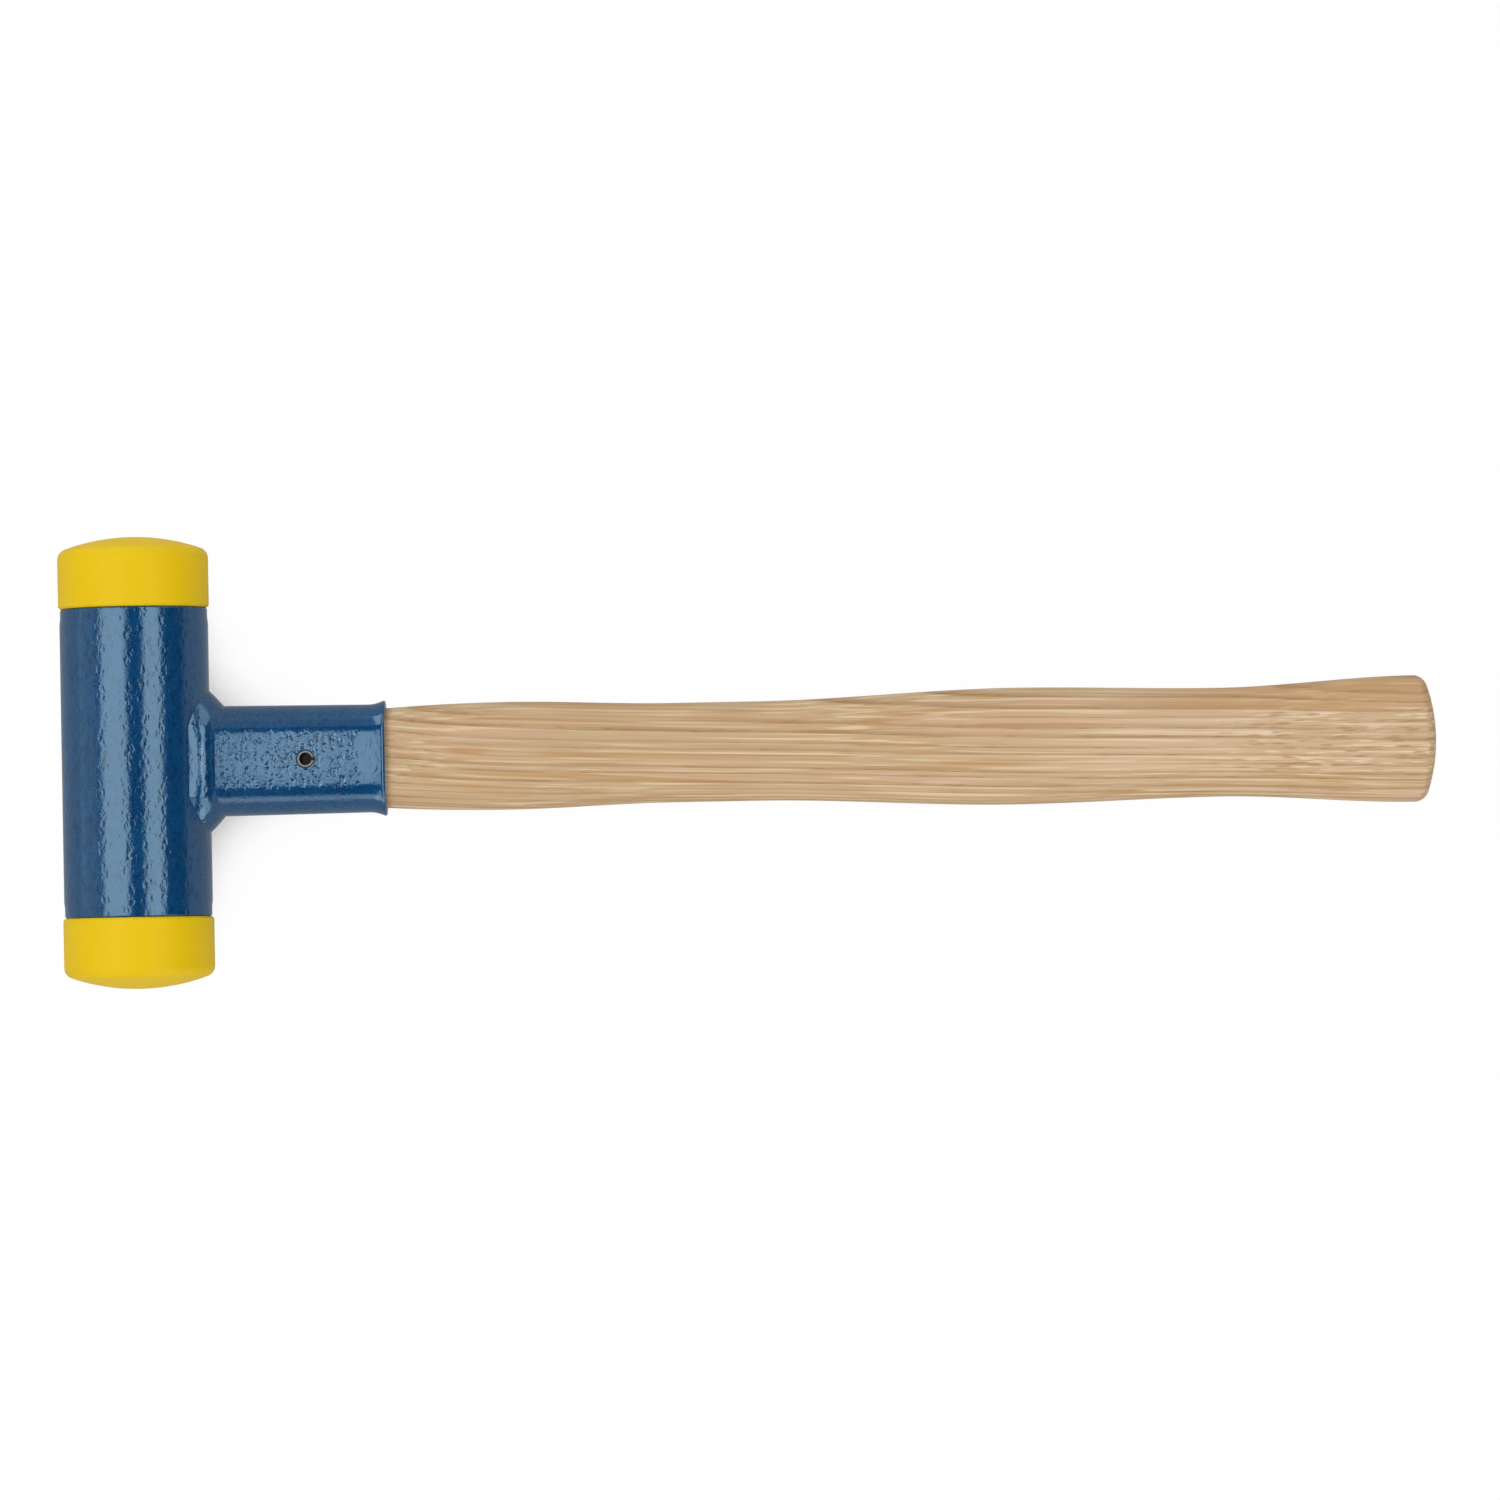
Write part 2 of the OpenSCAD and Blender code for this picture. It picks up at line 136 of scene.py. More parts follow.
class Wire:
    """A value in a material's nodes. Arithmetic on it adds Math nodes to the same tree."""

    def __init__(self, tree, socket=None):
        self.tree = tree
        self.socket = socket

    def feed(self, node, sockets):
        """Sets a node's sockets to values, or links them to wires."""
        for key, value in sockets.items():
            if isinstance(value, Wire):
                self.tree.links.new(value.socket, node.inputs[key])
            else:
                node.inputs[key].default_value = value

    def node(self, kind, settings=None, sockets=None, out=0):
        """Adds a node of that type with its settings, then its sockets, and gives one output."""
        made = self.tree.nodes.new("ShaderNode" + kind)
        for key, value in (settings or {}).items():
            if key == "stops":
                elements = made.color_ramp.elements
                while len(elements) < len(value):
                    elements.new(1)
                for element, (place, level) in zip(elements, value):
                    element.position = place
                    element.color = (level, level, level, 1)
            else:
                setattr(made, key, value)
        self.feed(made, sockets or {})
        return Wire(self.tree, made.outputs[out])

    def maths(self, operation, a, b=0.0):
        """One Math node on one or two values."""
        return self.node("Math", {"operation": operation}, {0: a, 1: b})

    def __add__(self, other):
        return self.maths("ADD", self, other)

    def __sub__(self, other):
        return self.maths("SUBTRACT", self, other)

    def __rsub__(self, other):
        return self.maths("SUBTRACT", other, self)

    def __mul__(self, other):
        return self.maths("MULTIPLY", self, other)

    def __truediv__(self, other):
        return self.maths("DIVIDE", self, other)

    def __pow__(self, other):
        return self.maths("POWER", self, other)

    __radd__ = __add__
    __rmul__ = __mul__

    def noise(self, place, scale, detail=2.0, out="Fac"):
        """Soft noise with so many features to a unit of place."""
        return self.node("TexNoise", None, {"Vector": place, "Scale": scale, "Detail": detail}, out)

    def ease(self, value, low, high):
        """0 below low, 1 above high and a smooth step between them."""
        return self.node("MapRange", {"interpolation_type": "SMOOTHSTEP"},
                         {"Value": value, "From Min": low, "From Max": high})

    def tint(self, share, first, second):
        """The first colour where share is 0 and the second where it is 1."""
        return self.node("Mix", {"data_type": "RGBA"}, {0: share, 6: first, 7: second}, 2)


def srgb(red, green, blue):
    """A colour of 0 to 255 as it looks on a screen, in the linear values of a shader."""
    levels = np.array([red, green, blue]) / 255
    linear = np.where(levels > 0.04045, ((levels + 0.055) / 1.055) ** 2.4, levels / 12.92)
    return (*linear.tolist(), 1.0)


def new_finish(name):
    """An empty material: itself, a wire into its nodes, its shader and Object coordinates."""
    material = bpy.data.materials.new(name)
    material.use_nodes = True
    wire = Wire(material.node_tree)
    place = wire.node("TexCoord", out="Object")
    return material, wire, material.node_tree.nodes["Principled BSDF"], place


def hammertone_enamel():
    """Enamel that draws into small pits as it dries: the cores of bent cells, longer along the
    barrel and deeper in patches. Heights are in mm, and fine aluminium speckles the blue. On the
    socket the pits are deep over the flats and shallow on the round sides and by the mouth."""
    material, wire, shader, place = new_finish("hammertone_enamel")
    mouth_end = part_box("handle_socket")[1][0]
    cell, cell_sway = 1.35 * mm, 1.4 * mm
    barrel_pit, flat_pit, side_pit = 0.055, 0.095, 0.02
    flat_edge, edge_fade = 7.0 * mm, 1.5 * mm
    foot_fade = 3.0 * mm
    smooth_l, smooth_fade = 6.0 * mm, 3.0 * mm
    sway = wire.node("VectorMath", {"operation": "SCALE"},
                     {0: wire.noise(place, 800, 1, "Color"), "Scale": cell_sway})
    bent = wire.node("VectorMath", {"operation": "ADD"}, {0: place, 1: sway})
    drawn = wire.node("Mapping", None, {"Vector": bent, "Scale": (1, 0.5, 1)})
    core = wire.node("TexVoronoi", None, {"Vector": drawn, "Scale": 1 / cell})
    along, across = (wire.node("SeparateXYZ", None, {0: place}, axis) for axis in "XY")
    on_side = wire.ease(wire.maths("ABSOLUTE", across), flat_edge, flat_edge + edge_fade)
    on_socket_skin = wire.ease(along, barrel_high[0], barrel_high[0] + foot_fade)
    depth = barrel_pit + on_socket_skin * (flat_pit - barrel_pit - on_side * (flat_pit - side_pit))
    smooth = wire.ease(along, mouth_end - smooth_l - smooth_fade, mouth_end - smooth_l)
    rough = 1 - smooth * 0.85
    patch = wire.ease(wire.noise(place, 240, 2), 0.3, 0.6)
    pit = (1 - wire.ease(core, 0.05, 0.65)) * (0.55 + patch * 0.45) * rough
    speckle = wire.ease(wire.noise(place, 2300, 3), 0.3, 0.7)
    cloud = wire.noise(place, 140, 3)
    # The colour is also darker in the pits: painted shade in these small recesses, on top of their bump.
    pale = speckle * 0.6 + cloud * 0.5 - pit * 0.5 - 0.05
    colour = wire.tint(pale, srgb(1, 47, 90), srgb(8, 83, 134))
    height = speckle * rough * 0.01 - pit * depth + cloud * 0.05
    bump = wire.node("Bump", None, {"Strength": 1.0, "Distance": mm, "Height": height})
    wire.feed(shader, {"Base Color": colour, "Metallic": 0.1, "Roughness": 0.09 + speckle * 0.05,
                       "IOR": 2.05, "Specular Tint": (0.65, 0.92, 1.0, 1.0), "Normal": bump})
    return material


def turned_steel():
    """Bare steel from the lathe: fine rings along the barrel's axis and a thin oil film."""
    material, wire, shader, place = new_finish("turned_steel")
    feed_per_turn = 0.25 * mm
    along = wire.node("SeparateXYZ", None, {0: place}, "Y")
    rings = wire.maths("SINE", along * (2 * np.pi / feed_per_turn))
    stain = wire.noise(place, 160, 3)
    bump = wire.node("Bump", None, {"Strength": 0.3, "Distance": 0.01 * mm, "Height": rings})
    wire.feed(shader, {"Base Color": wire.tint(stain, srgb(126, 124, 120), srgb(166, 164, 160)),
                       "Metallic": 1.0, "Roughness": 0.3 + stain * 0.2, "Normal": bump})
    return material


enamel = hammertone_enamel()
bore_steel = turned_steel()
end_band_r = barrel_r - end_band_depth
half_outline = np.array([
    [chamber_r, seat_floor], [seat_r, seat_floor], [seat_r, barrel_half - rim_chamfer],
    [seat_r + rim_chamfer, barrel_half], [end_band_r - rim_chamfer, barrel_half],
    [end_band_r, barrel_half - rim_chamfer], [end_band_r, barrel_half - end_band_l + end_slope_l],
    [barrel_r, barrel_half - end_band_l]])
barrel_outline = np.vstack([half_outline, half_outline[::-1] * [1, -1]])
barrel = add_piece("barrel_tube", skin(turned(rounded(barrel_outline, corner_r)), loop=True),
                   enamel, "hammer", "blue_enamel", "barrel")
barrel.data.materials.append(bore_steel)
centres = np.empty(len(barrel.data.polygons) * 3)
barrel.data.polygons.foreach_get("center", centres)
off_axis = np.hypot(*(centres.reshape(-1, 3) - head)[:, [0, 2]].T)
in_bore = (off_axis < seat_r + rim_chamfer).astype(np.int32)
barrel.data.polygons.foreach_set("material_index", in_bore)


# Handle socket: a steel tube pressed to a flattened oval, its foot cut to the barrel's
# curve and the round sides of its mouth belled out. It is painted together with the barrel.
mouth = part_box("handle_socket")[1][0] - head[0]
side_r = 12.3 * mm
side_centre = 2.4 * mm
flat_half = 10.95 * mm
socket_wall = 2.3 * mm
side_draft = np.tan(np.radians(0.5))
flat_draft = np.tan(np.radians(0.5))
lip_l = 4.8 * mm
lip_start = mouth - lip_l
lip_flare = 1.3 * mm
rim_r = 0.8 * mm
crease_soft = 0.12 * mm
oval_turn = np.linspace(0, 2 * np.pi, around, endpoint=False) + np.pi / around


def soft_clip(value, limit):
    """The value, held within plus and minus limit by a soft minimum."""
    size = -crease_soft * np.logaddexp(-np.abs(value) / crease_soft, -limit / crease_soft)
    return np.sign(value) * size


def flat_oval(turn, radius, half):
    """Two half circles about centres side_centre off the axis, with flats at plus and minus
    half: the point at an angle, across and up."""
    across = np.sign(np.cos(turn)) * side_centre + radius * np.cos(turn)
    return across, soft_clip(radius * np.sin(turn), half)


def lip(turn, x):
    """The flare at x: the square of the way into the lip. It fades from the middle of the round
    sides to the flats with the square of a cosine."""
    return lip_flare * np.clip((x - lip_start) / lip_l, 0, 1) ** 2 * np.cos(turn) ** 2


def on_socket(turn, x, inset):
    """Points of the socket at x along the handle: the flattened oval, narrowed by the draft,
    widened by the lip and set in from the outer skin by inset."""
    into = x - barrel_r
    across, up = flat_oval(turn, side_r - into * side_draft + lip(turn, x) - inset,
                           flat_half - into * flat_draft - inset)
    return np.stack([head[0] + x + 0 * across, head[1] + across, head[2] + up], axis=-1)


def foot(turn, inset):
    """How far along the handle the socket meets the barrel's curve: the root of the barrel's
    radius squared less the height squared."""
    up = on_socket(turn, barrel_r, inset)[..., 2] - head[2]
    return np.sqrt(barrel_r ** 2 - up ** 2)


bend = np.linspace(0, np.pi / 2, 6)
run = np.concatenate([np.linspace(barrel_r, lip_start, 8),
                      np.linspace(lip_start, mouth - rim_r, 16)[1:-1]])
rim_x = mouth - rim_r + rim_r * np.sin(bend)
rim_inset = rim_r * (1 - np.cos(bend))
wall_x = np.concatenate([run, rim_x, rim_x[::-1], run[::-1]])[:, None]
wall_inset = np.concatenate([0 * run, rim_inset, socket_wall - rim_inset[::-1],
                             0 * run + socket_wall])[:, None]
slide = (mouth - wall_x) / (mouth - barrel_r)
wall_x = wall_x + slide * (foot(oval_turn, wall_inset) - barrel_r)
socket = add_piece("socket_shell", skin(on_socket(oval_turn, wall_x, wall_inset), loop=True),
                   enamel, "hammer", "blue_enamel", "handle_socket")
pin_low, pin_high = (np.array(corner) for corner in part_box("spring_pin"))
pin_centre = (pin_low + pin_high) / 2
pin_r = (pin_high[1] - pin_low[1]) / 2
pin_fit = 0.02 * mm
drill_sides = 64
drilled_crease = np.radians(35)


def drill_for_pin(piece):
    """Cuts the pin's hole with a cylinder that runs well past both flats, then marks as
    sharp every edge that turns by more than 35 degrees."""
    angle = np.linspace(0, 2 * np.pi, drill_sides, endpoint=False)
    reach = 2 * flat_half * np.array([[-1], [1]])
    rings = np.stack([pin_centre[0] + (pin_r + pin_fit) * np.cos(angle) + 0 * reach,
                      pin_centre[1] + (pin_r + pin_fit) * np.sin(angle) + 0 * reach,
                      pin_centre[2] + reach + 0 * angle], axis=-1)
    points, quads, fans = skin(rings, loop=False)
    mesh = bpy.data.meshes.new("pin_drill")
    mesh.from_pydata(points.tolist(), [], quads.tolist() + fans.tolist())
    drill = bpy.data.objects.new("pin_drill", mesh)
    bpy.context.scene.collection.objects.link(drill)
    cut = piece.modifiers.new("pin_hole", "BOOLEAN")
    cut.object = drill
    cut.solver = "EXACT"
    drilled = piece.evaluated_get(bpy.context.evaluated_depsgraph_get())
    piece.data = bpy.data.meshes.new_from_object(drilled)
    piece.modifiers.clear()
    bpy.data.objects.remove(drill)
    piece.data.set_sharp_from_angle(angle=drilled_crease)


drill_for_pin(socket)


# Weld: one convex bead laid round the foot of the socket. It is full over the flats and
# nearly straight beside the round sides, and it is painted over with the rest of the head.
weld_reach = 4.2 * mm
weld_flat_reach = 2.4 * mm
weld_leg = 3.9 * mm
weld_fill = 0.4
weld_bulge = 0.1 * mm
weld_flat_bulge = 1.6 * mm
weld_sunk = 0.05 * mm
weld_steps = 18
weld_crease = np.radians(50)


def weld_rings(turn):
    """From the root of the bead to its toe on the barrel, then along the straight slope to the
    toe on the socket, raised away from the root by a parabola."""
    root_x = foot(turn, weld_sunk)
    root = on_socket(turn, root_x, weld_sunk)
    reach = np.hypot(weld_reach * np.cos(turn), weld_flat_reach * np.sin(turn))
    bulge = weld_bulge + (weld_flat_bulge - weld_bulge) * np.sin(turn) ** 2
    sunk_r = barrel_r - weld_sunk
    climb = np.arcsin((root[:, 2] - head[2]) / sunk_r) + np.sin(turn) * reach / sunk_r
    start = np.stack([head[0] + sunk_r * np.cos(climb), root[:, 1] + reach * np.cos(turn),
                      head[2] + sunk_r * np.sin(climb)], axis=-1)
    toe_x = root_x * (1 - weld_fill) + barrel_r * weld_fill + weld_leg
    slope = on_socket(turn, toe_x, weld_sunk) - start
    stem = start - root
    along = np.sum(stem * slope, axis=-1, keepdims=True) / np.sum(slope ** 2, axis=-1, keepdims=True)
    away = stem - slope * along
    raised = away / np.linalg.norm(away, axis=-1, keepdims=True) * bulge[:, None]
    u = np.linspace(0, 1, weld_steps)[:, None, None]
    return np.concatenate([root[None], start + slope * u + raised * 4 * u * (1 - u)])


weld_turn = np.linspace(0, 2 * np.pi, 2 * around, endpoint=False)
weld = add_piece("weld_bead", skin(weld_rings(weld_turn), loop=True),
                 enamel, "hammer", "blue_enamel", "socket_weld")
weld.data.set_sharp_from_angle(angle=weld_crease)


# Chamber discs: plates punched from steel sheet. They lie on the steps of the bore and
# keep the shot in the middle of the barrel.
def punched_steel():
    """Rolled sheet: a faint grain along X, small dents and a grey, dry surface."""
    material, wire, shader, place = new_finish("punched_steel")
    stretched = wire.node("Mapping", None, {"Vector": place, "Scale": (60, 900, 900)})
    grain = wire.noise(stretched, 3, 3)
    dents = wire.noise(place, 700, 1)
    bump = wire.node("Bump", None, {"Strength": 0.25, "Distance": 0.02 * mm,
                                  "Height": grain * 0.5 + dents})
    wire.feed(shader, {"Base Color": wire.tint(grain, srgb(140, 140, 140), srgb(176, 176, 174)),
                       "Metallic": 1.0, "Roughness": 0.32 + dents * 0.2, "Normal": bump})
    return material


disc_steel = punched_steel()
for disc in (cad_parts["chamber_disc_a"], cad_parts["chamber_disc_b"]):
    disc.data.materials.clear()
    disc.data.materials.append(disc_steel)


# Shot: loose steel balls that fill the lower part of the chamber as the hammer lies. They
# fly forward as it strikes and stop the head from bouncing back.
ball_r = 2.25 * mm
ball_fit = 0.12 * mm
ball_pitch = 2 * ball_r + ball_fit
ball_reach = chamber_r - ball_r - ball_fit
shot_level = 5.5 * mm
shot_layers = 10
shot_rows = 8


def close_packing():
    """Centres of balls in close-packed layers along the barrel: rows half a ball apart, odd
    layers in the hollows of even ones, kept where they fit the bore and lie below the level."""
    layer, row, i = np.meshgrid(np.arange(shot_layers), np.arange(shot_rows),
                                np.arange(shot_rows) - shot_rows // 2, indexing="ij")
    odd = layer % 2
    across = (i + (row % 2) / 2 + odd / 2) * ball_pitch
    along = (layer - (shot_layers - 1) / 2) * ball_pitch * np.sqrt(2 / 3)
    up = -ball_reach + row * ball_pitch * np.sqrt(3) / 2 + odd * ball_pitch / (2 * np.sqrt(3))
    kept = (np.hypot(across, up) <= ball_reach) & (up <= shot_level - ball_r)
    return head + np.stack([across[kept], along[kept], up[kept]], axis=-1)


def balls(centres):
    """One low sphere of 5 rings of 8 points and two poles, copied to every centre."""
    fall = np.linspace(0, np.pi, 7)[1:-1, None]
    turn = np.linspace(0, 2 * np.pi, 8, endpoint=False)
    rings = ball_r * np.stack([np.sin(fall) * np.cos(turn), np.sin(fall) * np.sin(turn),
                               np.cos(fall) + 0 * turn], axis=-1)
    points, quads, fans = skin(rings, loop=False)
    points[-2:, 2] = ball_r, -ball_r
    shift = np.arange(len(centres))[:, None, None] * len(points)
    return ((centres[:, None] + points).reshape(-1, 3), (quads + shift).reshape(-1, 4),
            (fans + shift).reshape(-1, 3))


def tumbled_steel():
    """Balls that have rolled on each other: dull grey with small bright scuffs."""
    material, wire, shader, place = new_finish("tumbled_steel")
    scuff = wire.noise(place, 1400, 3)
    wire.feed(shader, {"Base Color": wire.tint(scuff, srgb(120, 122, 126), srgb(170, 172, 176)),
                       "Metallic": 1.0, "Roughness": 0.25 + scuff * 0.25})
    return material


add_piece("steel_balls", balls(close_packing()), tumbled_steel(),
          "shot_charge", "shot_steel", "steel_shot")


# Striking faces: hard yellow polyurethane, cast in one piece with the ribbed stub that
# presses into the barrel. The crowned end wears and the face is then replaced.
cap_low, cap_high = (np.array(corner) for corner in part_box("face_insert_a"))
face_r = (cap_high[0] - cap_low[0]) / 2
face_h = cap_high[1] - barrel_high[1]
stub_l = barrel_high[1] - cap_low[1]
crown_r = 54.0 * mm
edge_r = 3.0 * mm
foot_chamfer = 0.6 * mm
rib_count = 3
rib_w = 1.6 * mm
rib_depth = 0.6 * mm
rib_soft = 0.25 * mm
seat_fit = 0.03 * mm
worn_start, worn_full = 4.0 * mm, 1.0 * mm


def face_outline():
    """From the middle of the stub's end out along its ribs, up the side and over the edge,
    an arc that touches both the side and the crown, to the top of the crown."""
    rib_r = seat_r - seat_fit
    core_r = rib_r - rib_depth
    pitch = (stub_l - rib_w) / rib_count
    middles = -stub_l + rib_w / 2 + (np.arange(rib_count) + 0.5) * pitch
    rib = np.array([[core_r, -rib_w / 2 - rib_depth / 2], [rib_r, -rib_w / 2],
                    [rib_r, rib_w / 2], [core_r, rib_w / 2 + rib_depth / 2]])
    ribs = (rib[None] + np.stack([0 * middles, middles], axis=-1)[:, None]).reshape(-1, 2)
    corners = np.vstack([[0, 0], [0, -stub_l], [core_r, -stub_l], ribs, [core_r, 0],
                         [face_r - foot_chamfer, 0], [face_r, foot_chamfer], [face_r, face_h / 2]])
    steps = 6
    stub = rounded(corners, rib_soft, steps)[2 * steps:-steps]
    edge_h = face_h - crown_r + np.sqrt((crown_r - edge_r) ** 2 - (face_r - edge_r) ** 2)
    touch = np.arctan2(edge_h - face_h + crown_r, face_r - edge_r)
    edge = np.linspace(0, touch, 14)
    dome = np.linspace(touch, np.pi / 2, 26)[1:-1]
    return np.vstack([
        [[core_r / 2, -stub_l]], stub,
        np.stack([face_r - edge_r + edge_r * np.cos(edge), edge_h + edge_r * np.sin(edge)], axis=-1),
        np.stack([crown_r * np.cos(dome), face_h - crown_r + crown_r * np.sin(dome)], axis=-1)])


def cast_polyurethane():
    """Solid yellow casting: satin from the mould, faintly clouded where the pigment swirled,
    with fine orange peel and a few dull scuffs on the crowned ends."""
    material, wire, shader, place = new_finish("cast_polyurethane")
    swirl = wire.noise(place, 55, 3)
    peel = wire.noise(place, 1500, 2)
    away = wire.maths("ABSOLUTE", wire.node("SeparateXYZ", None, {0: place}, "Y") - head[1])
    crown_top = barrel_half + face_h
    crown = wire.ease(away, crown_top - worn_start, crown_top - worn_full)
    scuff = wire.ease(wire.noise(place, 420, 4), 0.58, 0.72) * crown
    cloudy = wire.tint(swirl, srgb(227, 189, 2), srgb(234, 197, 6))
    colour = wire.tint(scuff * 0.35, cloudy, srgb(236, 212, 110))
    bump = wire.node("Bump", None, {"Strength": 0.25, "Distance": 0.02 * mm,
                                  "Height": peel + swirl * 2})
    wire.feed(shader, {"Base Color": colour, "Roughness": 0.42 + peel * 0.1 + scuff * 0.2,
                       "Specular IOR Level": 0.18, "Normal": bump})
    return material


polyurethane = cast_polyurethane()
cap_outline = face_outline() + [0, barrel_half]
for side, way_out in (("a", 1), ("b", -1)):
    add_piece("face_cap_" + side, skin(turned(cap_outline * [1, way_out]), loop=False),
              polyurethane, "face_" + side, "yellow_polyurethane", "face_insert_" + side)


# Handle: hickory, shaped on a copying lathe to a flattened oval, sanded and lightly oiled.
# Its tang is driven into the socket and the butt is rounded over.
handle_low, handle_high = (np.array(corner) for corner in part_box("handle"))
tang_x = handle_low[0] - head[0]
butt_end = handle_high[0] - head[0]
tang_fit = 0.05 * mm
edge_break = 2.5 * mm
butt_crown = np.array([3.2, 0.8]) * mm
butt_half = np.array([33.6, 25.0]) * mm / 2
butt_x = butt_end - butt_crown[0] - edge_break * np.cos(np.arctan(2 * butt_crown[0] / butt_half[0]))
oval_power = 2.25
tang_inset = socket_wall + tang_fit
neck_w = side_centre + side_r - (mouth - barrel_r) * side_draft + lip_flare - tang_inset
neck_t = flat_half - (mouth - barrel_r) * flat_draft - tang_inset
swell = np.array([mouth + 32.5 * mm, 28.6 * mm / 2, 21.0 * mm / 2])
waist_start = np.array([mouth + 75.5 * mm, 26.4 * mm / 2, 19.6 * mm / 2])
waist_end = np.array([butt_end - 180 * mm, 26.4 * mm / 2, 19.6 * mm / 2])
grip = np.array([butt_end - 112 * mm, 31.0 * mm / 2, 23.2 * mm / 2])
hollow = np.array([butt_end - 57 * mm, 28.9 * mm / 2, 21.8 * mm / 2])
stations = np.array([[mouth, neck_w, neck_t], swell, waist_start, waist_end, grip, hollow,
                     [butt_x, *butt_half]])


def handle_size(x):
    """Half width and half thickness at x. A cubic that is level at both ends joins each two
    stations, apart from the neck, where a parabola leaves the socket at a slope."""
    i = np.clip(np.searchsorted(stations[:, 0], x, side="right") - 1, 0, len(stations) - 2)
    start, end = stations[i], stations[i + 1]
    u = ((x - start[:, 0]) / (end[:, 0] - start[:, 0]))[:, None]
    ease = np.where(i[:, None] == 0, 1 - (1 - u) ** 2, u * u * (3 - 2 * u))
    return start[:, 1:] + (end - start)[:, 1:] * ease


def full_oval(wide, thick):
    """A superellipse, whose powers of width and height add up to one: across and up."""
    cosine, sine = np.cos(oval_turn), np.sin(oval_turn)
    return (wide * np.sign(cosine) * np.abs(cosine) ** (2 / oval_power),
            thick * np.sign(sine) * np.abs(sine) ** (2 / oval_power))


def handle_rings(x, size, full):
    """Rings of the handle: the socket's flattened oval where full is 0, the full oval where it
    is 1 and a blend of them between."""
    wide, thick = size[:, :1], size[:, 1:]
    flat = flat_oval(oval_turn, wide - side_centre - lip_flare * np.sin(oval_turn) ** 2, thick)
    across, up = full_oval(wide, thick)
    full = full[:, None]
    return np.stack([head[0] + x[:, None] + 0 * across,
                     head[1] + flat[0] * (1 - full) + across * full,
                     head[2] + flat[1] * (1 - full) + up * full], axis=-1)


def butt_rings():
    """The end is crowned by parabolas, more across the handle than through it. An arc breaks its
    edge and turns until it meets the slope of the crown, and the rings then shrink to the middle."""
    full = np.stack(full_oval(1, 1), axis=-1)
    turn = np.pi / 2 - np.arctan(np.sum(2 * butt_crown / butt_half * full ** 2, axis=-1))
    angle = turn * np.linspace(0, 1, 10)[:, None]
    inset = edge_break * (1 - np.cos(angle))[..., None]
    share = np.linspace(1, 0, 22)[1:-1, None]
    edge = (butt_half - inset) * full
    rings = np.concatenate([edge, edge[-1] * share[..., None]])
    below_crown = np.concatenate([edge_break * (np.sin(turn) - np.sin(angle)), 0 * share * turn])
    x = butt_end - np.sum(butt_crown * (rings / butt_half) ** 2, axis=-1) - below_crown
    return head + np.concatenate([x[..., None], rings], axis=-1)


def whole_handle():
    """Rings of the tang, the shaped body and the butt. The body turns steadily from the flattened
    oval at the socket's mouth to the full oval at the swell."""
    tang = np.concatenate([np.linspace(tang_x, lip_start, 12), np.linspace(lip_start, mouth, 8)[1:]])
    body = np.linspace(mouth, butt_x, 170)[1:-1]
    fullness = np.clip((body - mouth) / (swell[0] - mouth), 0, 1)
    return np.concatenate([on_socket(oval_turn, tang[:, None], tang_inset),
                           handle_rings(body, handle_size(body), fullness), butt_rings()])


